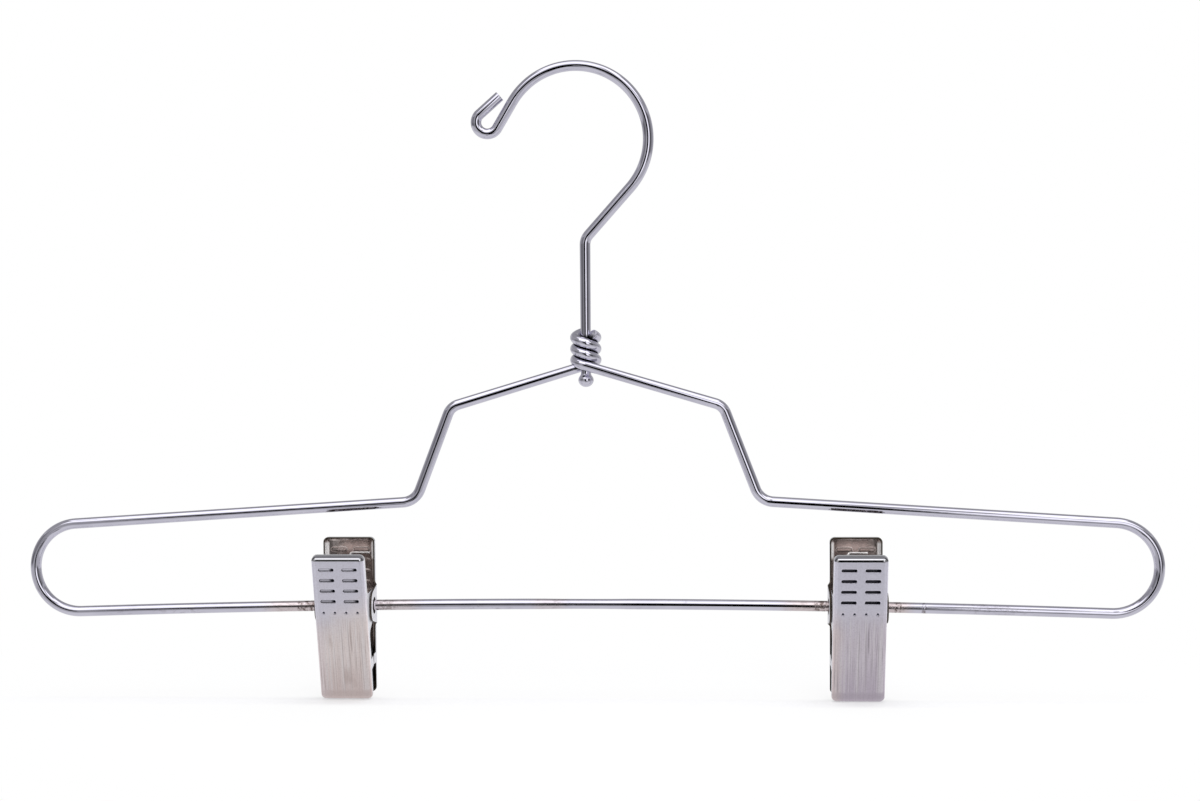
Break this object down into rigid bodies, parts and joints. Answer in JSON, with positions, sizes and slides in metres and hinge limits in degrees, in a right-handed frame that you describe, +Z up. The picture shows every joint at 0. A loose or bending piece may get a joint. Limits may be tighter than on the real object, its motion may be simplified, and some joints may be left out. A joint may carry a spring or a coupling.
{
  "type": "clip hanger",
  "caption": "Wire clothes hanger with a swivel hook in a twisted neck and sliding spring-loaded pinch clips on its bottom bar, for skirts and trousers.",
  "frame": {"origin": "where a rail touches the inside of the hook's top, on the stem's axis", "axes": "+X along the bottom bar, +Y from front to back, +Z up"},
  "size_m": [0.432, 0.0262, 0.2423],
  "materials": {
    "chrome_wire": "bright chrome plated steel wire, lightly scuffed along the bar",
    "satin_plate": "satin nickel plated sheet, finely drawn lines on the jaws, brighter inside",
    "spring_wire": "drawn spring steel wire",
    "grip_pad": "matt black soft grip with cross ribs"
  },
  "bodies": {
    "hook": {"hook": "chrome_wire"},
    "frame": {"frame_wire": "chrome_wire"},
    "left_clip": {"left_back_plate": "satin_plate", "left_back_pad": "grip_pad", "left_spring": "spring_wire"},
    "left_jaw": {"left_front_plate": "satin_plate", "left_front_pad": "grip_pad"},
    "right_clip": {"right_back_plate": "satin_plate", "right_back_pad": "grip_pad", "right_spring": "spring_wire"},
    "right_jaw": {"right_front_plate": "satin_plate", "right_front_pad": "grip_pad"}
  },
  "joints": [
    {"name": "hook_swivel", "type": "hinge", "parent": "hook", "child": "frame", "pos_m": [0, 0, -0.105], "axis": [0, 0, 1], "continuous": true},
    {"name": "left_clip_slide", "type": "slide", "parent": "frame", "child": "left_clip", "axis": [0.9999, 0, 0.0154], "range_m": [-0.085, 0.078]},
    {"name": "left_clip_open", "type": "hinge", "parent": "left_clip", "child": "left_jaw", "pos_m": [-0.093, 0, -0.20219], "axis": [-1, 0, 0], "range_deg": [0, 30], "stiffness_Nm_per_rad": 0.12, "springref_deg": -68.75, "deforming": ["left_spring"]},
    {"name": "right_clip_slide", "type": "slide", "parent": "frame", "child": "right_clip", "axis": [0.9999, 0, -0.017], "range_m": [-0.087, 0.076]},
    {"name": "right_clip_open", "type": "hinge", "parent": "right_clip", "child": "right_jaw", "pos_m": [0.1022, 0, -0.20234], "axis": [-1, 0, 0], "range_deg": [0, 30], "stiffness_Nm_per_rad": 0.12, "springref_deg": -68.75, "deforming": ["right_spring"]}
  ]
}
